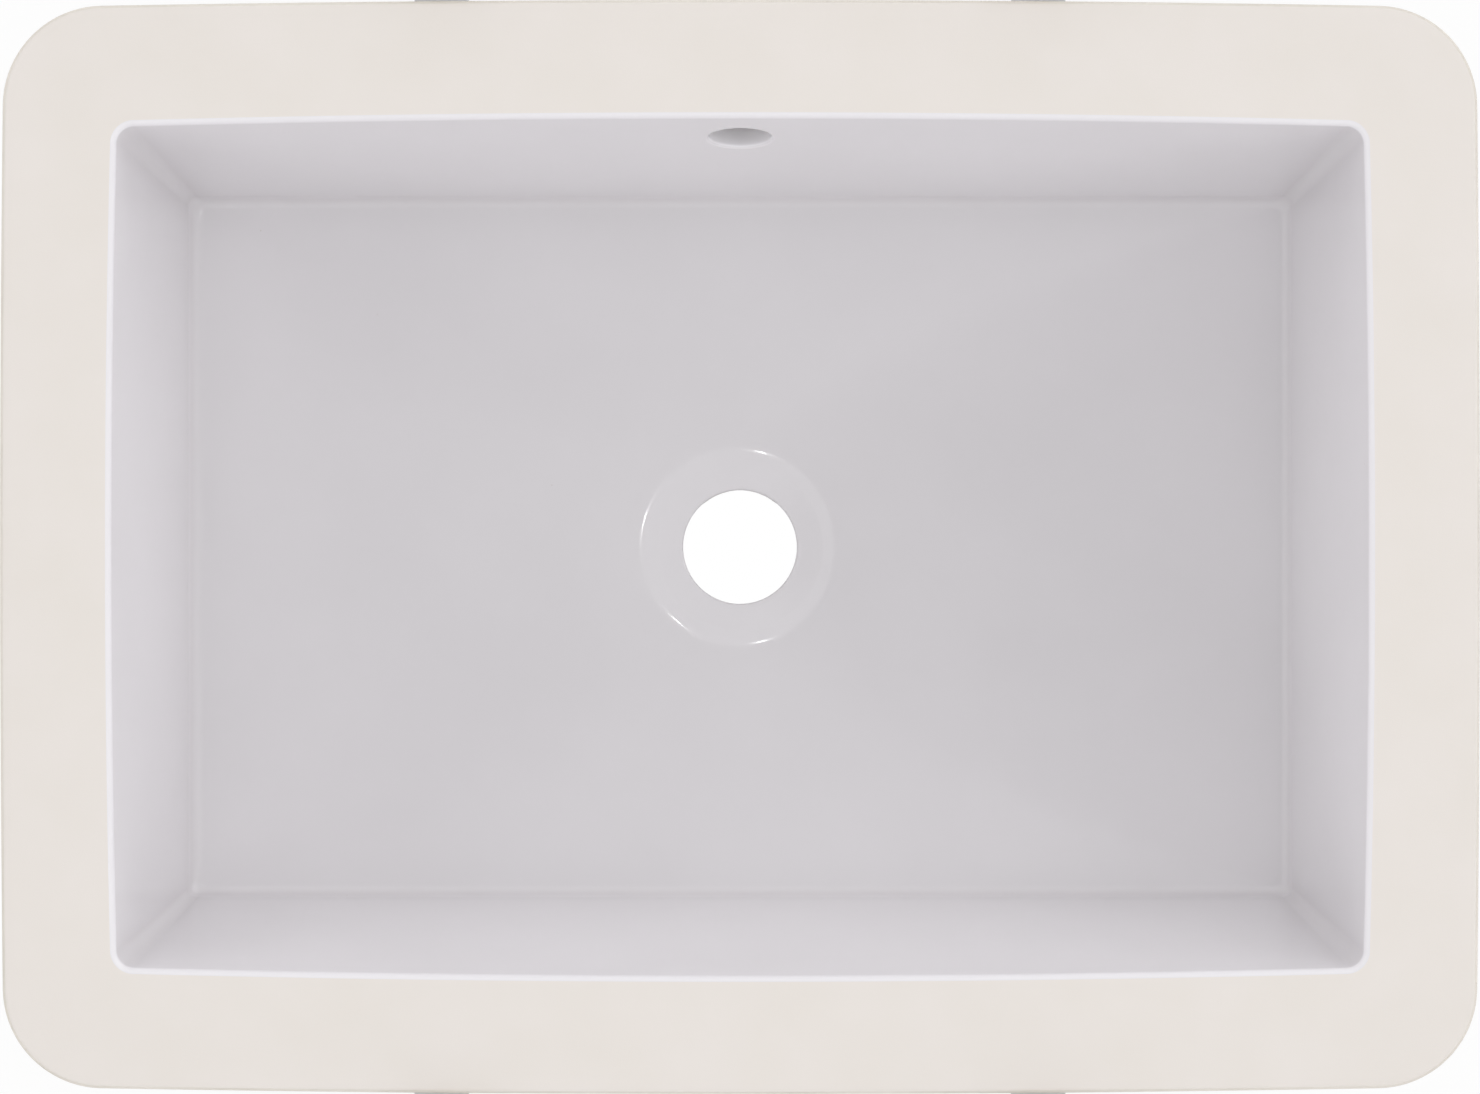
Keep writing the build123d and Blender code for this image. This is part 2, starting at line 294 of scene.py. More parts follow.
def moulded_rubber(look):
    # Black EPDM rubber, moulded: charcoal with a matt bloom and a fine pebbled skin
    material, tree, shader, place = new_material("moulded_rubber", IOR=1.5, Roughness=0.72)
    tones = "1B1B1C", "2B2B2A"
    tone, _ = clouded(tree, place, tones, patch_mm=6, detail=3, span=(0.3, 0.7))
    pebbled = 0.7, 0.05, 3, 0.5, (1, 1, 1)
    tree.links.new(tone, shader.inputs["Base Color"])
    tree.links.new(relief(tree, place, pebbled), shader.inputs["Normal"])
    return material


def finish(maker, look):
    """The material that a maker makes, which all its pieces share."""
    return bpy.data.materials.get(maker.__name__) or maker(look)


def finish_node(node, maker, look):
    """Gives a CAD node, whose shape stays, its finish."""
    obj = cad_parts[node]
    obj.data.materials.clear()
    obj.data.materials.append(finish(maker, look))


# Surfaces


def piece(name, points, faces, materials, face_material=None):
    """Puts points and quads into a mesh object that rides on the basin."""
    mesh = bpy.data.meshes.new(name)
    mesh.vertices.add(np.asarray(points).size // 3)
    mesh.vertices.foreach_set("co", np.asarray(points, np.float32).ravel())
    mesh.loops.add(faces.size)
    mesh.loops.foreach_set("vertex_index", faces.astype(np.int32).ravel())
    mesh.polygons.add(len(faces))
    mesh.polygons.foreach_set("loop_start", np.arange(len(faces), dtype=np.int32) * 4)
    for material in materials:
        mesh.materials.append(material)
    if face_material is not None:
        mesh.polygons.foreach_set("material_index", face_material.astype(np.int32))
    mesh.polygons.foreach_set("use_smooth", np.ones(len(faces), bool))
    mesh.update(calc_edges=True)
    obj = bpy.data.objects.new(name, mesh)
    bpy.context.scene.collection.objects.link(obj)
    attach(obj, "basin")
    return obj


def clustered(count):
    """count places between 0 and 1, close together near both ends: (1 - cos(pi k / n)) / 2."""
    return (1 - np.cos(np.pi * np.arange(1, count + 1) / (count + 1))) / 2


def rounded_section(corners, radii, arc_steps, line_places):
    """A closed profile in the (outward, up) plane: each corner is replaced by the arc of its radius
    that touches both of its lines, in equal angles, and each line gets points at the given shares
    of its length."""
    corners = np.asarray(corners, float)
    before = np.roll(corners, 1, axis=0) - corners
    after = np.roll(corners, -1, axis=0) - corners
    before /= np.linalg.norm(before, axis=1)[:, None]
    after /= np.linalg.norm(after, axis=1)[:, None]
    half = np.arccos(np.clip((before * after).sum(1), -1, 1)) / 2
    radii = np.asarray(radii, float)
    tangent = (radii / np.tan(half))[:, None]
    middle = before + after
    middle /= np.linalg.norm(middle, axis=1)[:, None]
    centre = corners + middle * (radii / np.sin(half))[:, None]
    start, end = corners + before * tangent, corners + after * tangent
    points = []
    for k in range(len(corners)):
        a, b = start[k] - centre[k], end[k] - centre[k]
        sweep = np.arctan2(a[0] * b[1] - a[1] * b[0], a @ b)
        angle = np.linspace(0, sweep, arc_steps[k] + 1)
        c, s = np.cos(angle), np.sin(angle)
        points.append(centre[k] + np.stack([a[0] * c - a[1] * s, a[0] * s + a[1] * c], 1))
        following = start[(k + 1) % len(corners)]
        points.append(end[k] + np.asarray(line_places[k])[:, None] * (following - end[k]))
    return np.concatenate(points)


def along(values_in, values_out, arc_steps, line_places, shape=lambda f: f):
    """A value for each point of rounded_section: across an arc it goes from the corner's first
    value to its second, and along a line to the next corner's first, by shape(share)."""
    found = []
    for k in range(len(arc_steps)):
        share = np.linspace(0, 1, arc_steps[k] + 1)
        found.append(values_in[k] + share * (values_out[k] - values_in[k]))
        change = values_in[(k + 1) % len(arc_steps)] - values_out[k]
        found.append(values_out[k] + shape(np.asarray(line_places[k])) * change)
    return np.concatenate(found)


def smooth(share):
    """The S-curve 3 f^2 - 2 f^3."""
    return share * share * (3 - 2 * share)


def quadrant(half_x, half_y, corner, columns, evenness):
    """Points of a quarter of a rounded rectangle from the +X axis to the +Y axis, for many
    rectangles at once. columns is a share of the short side, the corner arc or the long side, with
    0, 1 or 2 added; evenness blends those places with even steps of arc length. Also returns the
    squared cosine of the outline's normal, which is 1 on the short side and 0 on the long side."""
    short, arc, long = half_y - corner, corner * math.pi / 2, half_x - corner
    part, share = np.floor(columns).clip(0, 2), columns - np.floor(columns).clip(0, 2)
    featured = np.where(
        part == 0,
        share * short,
        np.where(part == 1, short + share * arc, short + arc + share * long),
    )
    even = np.linspace(0, 1, len(columns), endpoint=False) * (short + arc + long)
    s = featured * (1 - evenness) + even * evenness
    angle = ((s - short) / corner).clip(0, math.pi / 2)
    over = (s - short - arc).clip(0, None)
    x = half_x - corner + corner * np.cos(angle) - over
    y = np.minimum(s, short) + corner * np.sin(angle)
    return x, y, np.cos(angle) ** 2


def rings(half_x, half_y, corner, bow_x, bow_y, z_side, z_long, evenness, front, back):
    """A surface of one closed ring per row: a rounded rectangle about the Z axis whose sides swell
    outwards. With u, v the point over the half sides, x grows by bow_x u (1 - v^2) and y by
    bow_y v (1 - u^2), and z goes from z_side on the short sides to z_long on the long ones by the
    squared cosine of the outline's normal. front and back are the columns of their quadrants."""
    core_x, core_y = (half_x - bow_x)[:, None], (half_y - bow_y)[:, None]
    corner = np.minimum(np.minimum(corner[:, None], core_x), core_y)
    evenness = evenness[:, None]
    quarters = []
    for columns, sign_x, sign_y in ((back, 1, 1), (back, -1, 1), (front, -1, -1), (front, 1, -1)):
        x, y, side = quadrant(core_x, core_y, corner, columns, evenness)
        end = np.zeros_like(core_x)
        x, y = np.hstack([x, end]), np.hstack([y, core_y])
        side = np.hstack([side, side[:, -1:]])
        if sign_x * sign_y < 0:
            x, y, side = x[:, ::-1], y[:, ::-1], side[:, ::-1]
        quarters.append((sign_x * x[:, :-1], sign_y * y[:, :-1], side[:, :-1]))
    x, y, side = (np.hstack([q[k] for q in quarters]) for k in range(3))
    u, v = x / core_x, y / core_y
    x = x + bow_x[:, None] * u * (1 - v * v)
    y = y + bow_y[:, None] * v * (1 - u * u)
    z = z_side[:, None] * side + z_long[:, None] * (1 - side)
    return np.stack([x, y, z], 2)


def grid_quads(rows, columns, wrap_rows=True):
    """Vertex indices of the quads of a grid that closes on itself round its columns, and round its
    rows too if wrap_rows, as an array of (row, column, 4)."""
    i = np.arange(rows if wrap_rows else rows - 1)[:, None]
    j = np.arange(columns)[None, :]
    i2, j2 = (i + 1) % rows, (j + 1) % columns
    corners = (i * columns + j, i * columns + j2, i2 * columns + j2, i2 * columns + j)
    return np.stack(np.broadcast_arrays(*corners), 2)


def end_cap(ring):
    """Quads that close a flat ring of an even number of points: each joins two neighbours to the
    two opposite them, like the slats of a blind."""
    k = np.arange(len(ring) // 2 - 1)
    return np.stack([ring[k], ring[k + 1], ring[-2 - k], ring[-1 - k]], 1)


def loop_round(low, high, first, last):
    """The (row, column) pairs round a block of the grid, starting along row low."""
    tall, wide = high - low, last - first
    rows = (np.full(wide, low), np.arange(low, high), np.full(wide, high), np.arange(high, low, -1))
    columns = (
        np.arange(first, last),
        np.full(tall, last),
        np.arange(last, first, -1),
        np.full(tall, first),
    )
    return np.concatenate(rows), np.concatenate(columns)


# The china

# the bowl's skins, in the order of its material slots
GLAZED, GROUND, BARE = range(3)


def painted_light(points, profile, crease, lip, apex):
    """Painted light for each point of the bowl's rings, from -1, a painted highlight on the lip's
    edge, to 1, painted shade in the crease and the corners: bells e^-(d/w)^2 of the distance d
    along the profile from the middle of the crease and from the lip, and of the distance in plan
    from the apex of each ring's corner, on the wall alone."""
    crease_width, lip_width, valley_width, foot_width = 2.3, 0.6, 7.0, 2.0
    # how far the painted shade and the painted highlight go
    shade_amount, highlight_strength = 0.8, 0.5
    run = np.r_[0, np.cumsum(np.hypot(*np.diff(profile, axis=0).T))]

    def bell(rows, width):
        away = np.maximum(run[rows[0]] - run, run - run[rows[1]]).clip(0, None)
        return np.exp(-((away / width) ** 2))[:, None]

    from_apex = np.hypot(np.abs(points[:, :, 0]) - apex[0], np.abs(points[:, :, 1]) - apex[1])
    valley = np.exp(-((from_apex / valley_width) ** 2)) * bell((crease, lip[1]), foot_width)
    edge = bell(lip, lip_width)
    hollow = bell((crease, crease), crease_width)
    return shade_amount * np.maximum(hollow, valley) * (1 - edge) - highlight_strength * edge


def build_china(look):
    """The bowl as one closed skin. Its profile runs up the outlet's bore, over the seat, along the
    floor, up the wall, over the lip, across the rim and back down the outside to the outlet's foot,
    and a ring about the Z axis goes through each of its points."""
    deep = 105.0
    outlet, seat = look.outlet_diameter / 2 / MM, look.seat_diameter / 2 / MM
    # the turns of the profile: outward on the short sides, outward on the long sides, up, rounding,
    # corner radius before and after the rounding, swell of the short and of the long sides,
    # evenness of the columns
    turns = [
        (outlet, outlet, -170.0, 0.6, 99, 99, 0, 0, 1),  # foot of the bore
        (outlet, outlet, -114.0, 0.9, 99, 99, 0, 0, 1),  # top of the bore
        (33.5, 33.5, -112.25, 5.0, 99, 99, 0, 0, 1),  # hollow of the seat
        (seat, seat, -111.0, look.seat_round / MM, 99, 99, 0, 0, 1),  # edge of the seat
        (222.0, 140.5, -deep, 5.0, 5.0, 4.2, 0, 0, 0),  # foot of the wall
        (253.5, 173.0, 0.0, 2.5, 6.9, 8.9, 2.3, 3.4, 0),  # lip
        (297.5, 220.0, 0.0, 2.0, 37.0, 39.0, 1.5, 3.1, 0),  # upper edge of the rim
        (297.5, 220.0, -14.0, 4.0, 39.0, 35.0, 1.5, 3.1, 0),  # lower edge of the rim
        (259.74, 179.13, -14.0, 7.0, 20.4, 15.2, 2.1, 3.1, 0),  # wall under the rim
        (229.14, 147.56, -116.0, 16.0, 14.0, 8.0, 0, 0, 0),  # outer foot of the wall
        (37.0, 37.0, -122.0, 2.0, 99, 99, 0, 0, 1),  # root of the boss
        (37.0, 37.0, -170.0, 2.0, 99, 99, 0, 0, 1),  # foot of the boss
    ]
    bore_foot, seat_edge, wall_foot, lip, rim_edge = 0, 3, 4, 5, 6
    under_rim, outer_foot, boss_root = 8, 9, 10
    turns = np.array(turns, float)
    steps = [3, 4, 2, 6, 8, 8, 6, 6, 7, 8, 4, 5]
    # rows on the wall stand close together across the height of the overflow hole
    inner_wall = np.r_[clustered(9) * 0.54, np.linspace(0.545, 0.93, 21), 0.945, 0.96, 0.975, 0.988]
    outer_wall = np.r_[np.linspace(0.01, 0.34, 18), 0.34 + 0.66 * clustered(8)]
    lines = [
        clustered(22),
        clustered(3),
        clustered(2),
        clustered(15),
        inner_wall,
        clustered(5),
        np.array([0.5]),
        clustered(3),
        outer_wall,
        clustered(8),
        clustered(18),
        clustered(3),
    ]
    side = rounded_section(turns[:, [0, 2]], turns[:, 3], steps, lines)
    long = rounded_section(turns[:, [1, 2]], turns[:, 3], steps, lines)
    corner = along(turns[:, 4], turns[:, 5], steps, lines)
    bow_x = along(turns[:, 6], turns[:, 6], steps, lines)
    bow_y = along(turns[:, 7], turns[:, 7], steps, lines)
    evenness = along(turns[:, 8], turns[:, 8], steps, lines, smooth)
    # the row where each turn starts, and the one where the line after it starts
    first = np.cumsum([0] + [n + 1 + len(places) for n, places in zip(steps, lines)])
    after = first[:-1] + np.array(steps) + 1
    # the floor's level lines turn from the outlet's circle to the floor's corners by way of ovals
    for turn, out, back in ((seat_edge, 39.0, 5.0), (outer_foot, 8.0, 37.0)):
        f = np.asarray(lines[turn])
        oval = out + (back - out) * f + look.floor_softness / MM * 4 * f * (1 - f)
        corner[after[turn] : first[turn + 1]] = oval
    columns_short, columns_corner, columns_long = 30, 20, 50
    short_part = np.linspace(0, 1, columns_short, endpoint=False)
    corner_part = 1 + np.linspace(0, 1, columns_corner, endpoint=False)
    even_long = 2 + np.linspace(0, 1, columns_long, endpoint=False)
    # towards the middle of the back wall the columns stand close together for the overflow hole
    close, band, crowd = 16, 0.1, 1.3
    near_hole = 2 + np.r_[
        (1 - band) * (1 - (1 - np.linspace(0, 1, columns_long - close, endpoint=False)) ** crowd),
        (1 - band) + band * np.linspace(0, 1, close, endpoint=False),
    ]
    front = np.r_[short_part, corner_part, even_long]
    back = np.r_[short_part, corner_part, near_hole]
    points = rings(
        side[:, 0], long[:, 0], corner, bow_x, bow_y, side[:, 1], long[:, 1], evenness, front, back
    )
    rows, columns = points.shape[:2]
    round_off = np.minimum(corner, long[:, 0] - bow_y) * (1 - math.sqrt(0.5))
    apex_x = (side[:, 0] - bow_x - round_off)[:, None]
    apex_y = (long[:, 0] - bow_y - round_off)[:, None]
    # painted shade in the crease and corners and a painted highlight on the lip, one value per
    # point
    light_paint = painted_light(
        points,
        profile=side,
        crease=first[wall_foot] + steps[wall_foot] // 2,
        lip=(first[lip], first[lip] + steps[lip]),
        apex=(apex_x, apex_y),
    )
    quads = grid_quads(rows, columns)
    keep = np.ones(quads.shape[:2], bool)
    skin = np.full(quads.shape[:2], BARE)
    glaze_end = first[lip] + int(round(steps[lip] * look.glaze_reach))
    skin[after[bore_foot] : glaze_end] = GLAZED
    # grinding takes the flat and the start of the rounding at its outer edge
    skin[glaze_end : first[rim_edge] + 2] = GROUND
    centre = columns // 4
    extra_points, extra_quads, extra_skin, tunnel_light_paint = [], [], [], []
    count = rows * columns

    def tunnel(low, out_low, height, width, shape, glaze):
        """Opens the skin from a block of the inside to the block of the outside behind it, height
        rows tall from the rows low and out_low and width columns to each side of the middle of the
        back. shape takes the block's rim points, inside and outside, and returns the rings between
        them and their skins, and glaze is the painted light on each ring, -1 a painted highlight."""
        nonlocal count
        first_column, last_column = centre - width, centre + width
        keep[low : low + height, first_column:last_column] = False
        keep[out_low : out_low + height, first_column:last_column] = False
        r, c = loop_round(low, low + height, first_column, last_column)
        start = r * columns + c
        out_r = out_low + height - (r - low)
        end = out_r * columns + c
        flat = points.reshape(-1, 3)
        made, skins = shape(flat[start], flat[end])
        n = len(start)
        index = np.vstack([start, count + np.arange(len(made) * n).reshape(-1, n), end])
        count += len(made) * n
        extra_points.append(np.concatenate(made))
        a, b = index[:-1], index[1:]
        extra_quads.append(np.stack([a, np.roll(a, -1, 1), np.roll(b, -1, 1), b], 2).reshape(-1, 4))
        extra_skin.append(np.repeat(np.asarray(skins), n))
        tunnel_light_paint.append(np.repeat(np.asarray(glaze, float), n))

    def overflow(inside, outside):
        """A round hole square to the wall: rings shrink in straight lines from the block's rim to
        the lip, turn through a quarter circle into the bore and come out the same way."""
        wall_top, wall_run, depth, thick, flare = 173.0, 32.5, 27.5, 10.0, 1.0
        lean = math.atan2(wall_run, deep)
        middle = np.array([0, wall_top - depth * math.tan(lean), -depth])
        into = np.array([0, math.cos(lean), -math.sin(lean)])
        up = np.array([0, math.sin(lean), math.cos(lean)])
        across = np.array([1.0, 0, 0])
        offset = inside - middle
        angle = np.arctan2(offset @ up, offset @ across)
        way = np.cos(angle)[:, None] * across + np.sin(angle)[:, None] * up
        radius, rounding = look.overflow_diameter / 2 / MM, look.overflow_round / MM
        edge = middle + (radius + rounding) * way
        # the block lies on the bowed wall, so the rings leave it towards the flat round the hole
        made = [inside + (edge - inside) * f for f in (0.2, 0.4, 0.6, 0.8, 0.92, 1.0)]
        for turn in np.linspace(0, math.pi / 2, 7)[1:]:
            grow = rounding * (1 - math.sin(turn))
            made.append(middle + (radius + grow) * way + rounding * (1 - math.cos(turn)) * into)
        for share in (0.33, 0.66, 1.0):
            along_bore = rounding + share * (thick - flare - rounding)
            made.append(middle + radius * way + along_bore * into)
        skins = [GLAZED] * len(made)
        far = middle + (radius + flare) * way + thick * into
        made.append(middle + (radius + 0.3 * flare) * way + (thick - 0.3 * flare) * into)
        made.append(far)
        made.append(far + (outside - far) * 0.5)
        return made, skins + [BARE] * 4

    def port(inside, outside):
        """A slot with rounded corners from the outlet's bore into the overflow duct. Its outline is
        |x/a|^n + |z/b|^n = 1, laid on the bore's cylinder and on the boss's."""
        half_width, half_height, middle_z, power = 13.9, 5.9, -129.4, 5.0
        boss, chamfer = 37.0, 0.4
        turn_in = np.arctan2(inside[:, 2] - middle_z, inside[:, 0] * 0.5)
        c, s = np.cos(turn_in), np.sin(turn_in)
        reach = (np.abs(c) ** power + np.abs(s) ** power) ** (-1 / power)
        x, z = half_width * reach * c, middle_z + half_height * reach * s

        def on_cylinder(radius, grow=0):
            wide = x * (1 + grow / half_width)
            high = middle_z + (z - middle_z) * (1 + grow / half_height)
            return np.stack([wide, np.sqrt(radius * radius - wide * wide), high], 1)

        near, far = on_cylinder(outlet, chamfer), on_cylinder(boss, chamfer)
        made = []
        for f in (0.35, 0.7):
            flat_ring = inside + (near - inside) * f
            scale = outlet / np.hypot(flat_ring[:, 0], flat_ring[:, 1])
            made.append(flat_ring * np.stack([scale, scale, np.ones_like(scale)], 1))
        bore = [on_cylinder(radius) for radius in (outlet + chamfer, 30.0, boss - chamfer)]
        made += [near, *bore, far]
        return made, [BARE] * (len(made) + 1)

    # the hole opens 20 rows of the wall, and the port 8 rows of the bore
    tunnel(
        low=after[wall_foot] + 9,
        out_low=first[under_rim] + 3,
        height=20,
        width=close,
        shape=overflow,
        # painted highlight: the overflow's bore, which lies in shade, is painted whiter
        glaze=[0] * 6 + [-0.2] * 3 + [-1] * 9,
    )
    tunnel(
        low=after[bore_foot] + 7,
        out_low=after[boss_root],
        height=8,
        width=45,
        shape=port,
        glaze=[0] * 7,
    )
    all_points = np.concatenate([points.reshape(-1, 3)] + extra_points) * MM
    # the section is drawn clockwise, so the quads are turned over to face outwards
    all_quads = np.concatenate([quads[keep]] + extra_quads)[:, ::-1]
    skins = np.concatenate([skin[keep]] + extra_skin)
    materials = [finish(m, look) for m in (glazed_vitreous_china, ground_china, bare_cast_china)]
    bowl = piece("china_bowl", all_points, all_quads, materials, skins)
    # painted shade and painted highlight, kept as a point attribute that the glaze's colour reads
    told = np.concatenate([light_paint.ravel()] + tunnel_light_paint).astype(np.float32)
    bowl.data.attributes.new("painted_light", "FLOAT", "POINT").data.foreach_set("value", told)
    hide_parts("bowl")


def build_duct_joint(look):
    """The slip that lutes the open end of the overflow duct to the outlet's boss. Its section is
    the duct's, a U with quarter circles at its lower edges, and goes from the duct's end plane to
    the boss's cylinder, y = sqrt(r^2 - x^2), falling as the duct does."""
    end_plane, boss, top, fall = 33.667, 36.5, -120.0, 0.0465
    tongue, thinner, overlap = 4.0, 1.0, 0.05
    turn = np.linspace(0, math.pi / 2, 7)

    def half_u(half_width, foot, rounding):
        x = half_width - rounding * (1 - np.cos(turn))
        z = foot + rounding * (1 - np.sin(turn))
        across = np.linspace(x[-1], 0, 9)[1:]
        return np.r_[half_width, x, across], np.r_[top, z, np.full_like(across, foot)]

    def u_wall(inset):
        # the half width, the foot and the rounding of the duct's outside and of its channel
        x, z = half_u(33.0 - inset, -144.0 + inset, 6.0)
        x2, z2 = half_u(25.0 + inset, -136.0 - inset, 0.5)
        return np.r_[x, -x[-2::-1], -x2, x2[-2::-1]], np.r_[z, z[-2::-1], z2, z2[-2::-1]]

    # a thinner tongue goes into the duct's wall, and the joint itself reaches to the boss
    x, z = u_wall(0)
    reach = np.minimum(np.sqrt(boss * boss - x * x), end_plane - overlap)
    sections = [(*u_wall(thinner), np.full_like(x, end_plane + tongue))]
    for share in (0, 0.25, 0.5, 0.75, 1):
        sections.append((x, z, end_plane + share * (reach - end_plane)))
    x, z, y = (np.stack(part) for part in zip(*sections))
    points = np.stack([x, y, z + fall * (y - end_plane)], 2) * MM
    rows, columns = x.shape
    quads = np.concatenate(
        [
            grid_quads(rows, columns, wrap_rows=False)[:, :, ::-1].reshape(-1, 4),
            end_cap(np.arange(columns)),
            end_cap((np.arange(columns) + (rows - 1) * columns)[::-1]),
        ]
    )
    piece("duct_joint", points, quads, [finish(bare_cast_china, look)])


# The hardware


def build_stud(look, place):
    """A rolled thread: the radius falls from the crest by the thread's depth where the helix
    z / pitch - angle / turn is half-way between crests, with flats at crest and root, and by a
    45 degree cone at both ends."""
    pitch = look.thread_pitch
    depth, chamfer, flank, flat = 0.6 * pitch, 0.7 * pitch, 1.35, 0.15
    columns, steps = 36, 10
    low, high = (np.array(corner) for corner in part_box(f"stud_{place}"))
    centre, radius = (low[:2] + high[:2]) / 2, (high[0] - low[0]) / 2
    rows = int(round((high[2] - low[2]) / pitch * steps)) + 1
    z = np.linspace(low[2], high[2], rows)[:, None]
    angle = np.linspace(0, 2 * math.pi, columns, endpoint=False)[None, :]
    helix = (z / pitch - angle / (2 * math.pi)) % 1
    away = np.clip(np.abs(2 * helix - 1) * flank - flat, 0, 1)
    end = np.minimum(z - low[2], high[2] - z)
    r = np.minimum(radius - depth * (1 - away), radius - chamfer + end)
    x, y = centre[0] + r * np.cos(angle), centre[1] + r * np.sin(angle)
    points = np.stack([x, y, np.broadcast_to(z, x.shape)], 2)
    quads = np.concatenate(
        [
            grid_quads(rows, columns, wrap_rows=False).reshape(-1, 4),
            end_cap(np.arange(columns)[::-1]),
            end_cap(np.arange(columns) + (rows - 1) * columns),
        ]
    )
    material = finish(zinc_plated_steel, look)
    stud = piece(f"thread_{place}", points, quads, [material])
    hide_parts(f"stud_{place}")


# The studio


def seen_white(tree, shader, share=None):
    """A shader that camera, glossy and transmission rays see as white of strength 1, or mixed with
    it by the share given, so that a backdrop looks white while its own shade lights the object."""
    path = add_node(tree, "ShaderNodeLightPath")
    seen = add_node(
        tree,
        "ShaderNodeMath",
        {"operation": "ADD", "use_clamp": True},
        links={0: path.outputs["Is Camera Ray"], 1: path.outputs["Is Glossy Ray"]},
    ).outputs[0]
    seen = add_node(
        tree,
        "ShaderNodeMath",
        {"operation": "ADD", "use_clamp": True},
        links={0: seen, 1: path.outputs["Is Transmission Ray"]},
    ).outputs[0]
    if share:
        seen = add_node(
            tree, "ShaderNodeMath", {"operation": "MULTIPLY"}, links={0: seen, 1: share}
        ).outputs[0]
    white = add_node(tree, "ShaderNodeEmission", values={"Color": (1, 1, 1, 1), "Strength": 1.0})
    return add_node(
        tree, "ShaderNodeMixShader", links={0: seen, 1: shader, 2: white.outputs[0]}
    ).outputs[0]


def lay_paper(name, reach, level, share_near, share_far):
    """A level square of pale paper that reaches so far from the outlet's axis. The share of white
    in what the camera sees grows in an S-curve of the distance from the axis, from under the basin
    to clear of it, so that the basin's shadow shows there. From below the paper isn't seen."""
    under_basin, clear_of_it = 0.15, 0.38
    corners = np.array([[-1, -1, 0], [1, -1, 0], [1, 1, 0], [-1, 1, 0]], float) * reach
    mesh = bpy.data.meshes.new(name)
    mesh.from_pydata((corners + (0, 0, level)).tolist(), [], [(0, 1, 2, 3)])
    sheet = bpy.data.objects.new(name, mesh)
    bpy.context.scene.collection.objects.link(sheet)
    material, tree, paper, place = new_material(f"{name}_paper", Roughness=0.9)
    paper.inputs["Base Color"].default_value = linear("E6E6E6")
    flat = add_node(
        tree, "ShaderNodeVectorMath", {"operation": "MULTIPLY"}, {1: (1, 1, 0)}, {0: place}
    ).outputs["Vector"]
    away = add_node(tree, "ShaderNodeVectorMath", {"operation": "LENGTH"}, links={0: flat})
    share = add_node(
        tree,
        "ShaderNodeMapRange",
        {"interpolation_type": "SMOOTHSTEP"},
        {
            "From Min": under_basin,
            "From Max": clear_of_it,
            "To Min": share_near,
            "To Max": share_far,
        },
        {"Value": away.outputs["Value"]},
    ).outputs["Result"]
    clear = add_node(tree, "ShaderNodeBsdfTransparent").outputs[0]
    below = add_node(tree, "ShaderNodeNewGeometry").outputs["Backfacing"]
    lit = seen_white(tree, paper.outputs[0], share)
    seen = add_node(tree, "ShaderNodeMixShader", links={0: below, 1: lit, 2: clear})
    tree.links.new(seen.outputs[0], tree.nodes["Material Output"].inputs["Surface"])
    mesh.materials.append(material)


def build_scrim(height):
    """A dark gauze under the ceiling, off to the left, which the level floor of the basin mirrors:
    a disc that is densest at its middle and thins out in an S-curve to nothing at its edge."""
    radius, off_left, columns = 6.1, 2.8, 48
    angle = np.linspace(0, 2 * math.pi, columns, endpoint=False)
    circle = np.stack([np.cos(angle), np.sin(angle), np.zeros(columns)], 1) * radius
    mesh = bpy.data.meshes.new("dark_scrim")
    mesh.from_pydata(circle.tolist(), [], end_cap(np.arange(columns)).tolist())
    scrim = bpy.data.objects.new("dark_scrim", mesh)
    scrim.location = (-off_left, 0, height)
    bpy.context.scene.collection.objects.link(scrim)
    scrim.visible_camera = False
    material, tree, gauze, place = new_material("black_gauze", Roughness=1.0)
    gauze.inputs["Base Color"].default_value = linear("0C0C0C")
    away = add_node(tree, "ShaderNodeVectorMath", {"operation": "LENGTH"}, links={0: place})
    cover = add_node(
        tree,
        "ShaderNodeMapRange",
        {"interpolation_type": "SMOOTHSTEP"},
        {"From Min": 0.3 * radius, "From Max": radius, "To Min": 0.8, "To Max": 0},
        {"Value": away.outputs["Value"]},
    ).outputs["Result"]
    clear = add_node(tree, "ShaderNodeBsdfTransparent").outputs[0]
    mixed = add_node(tree, "ShaderNodeMixShader", links={0: cover, 1: clear, 2: gauze.outputs[0]})
    tree.links.new(mixed.outputs[0], tree.nodes["Material Output"].inputs["Surface"])
    mesh.materials.append(material)


def add_lamp(name, azimuth, zenith, distance, size, power, shape="SQUARE"):
    """An area lamp that faces the basin from an azimuth, anticlockwise from +X, and an angle from
    straight above."""
    a, z = math.radians(azimuth), math.radians(zenith)
    way = np.array([math.sin(z) * math.cos(a), math.sin(z) * math.sin(a), math.cos(z)])
    lamp = bpy.data.lights.new(name, "AREA")
    lamp.shape = shape
    lamp.size = size
    lamp.energy = power
    obj = bpy.data.objects.new(name, lamp)
    obj.location = way * distance
    obj.rotation_mode = "XYZ"
    obj.rotation_euler = (0, z, a)
    obj.visible_camera = False
    bpy.context.scene.collection.objects.link(obj)


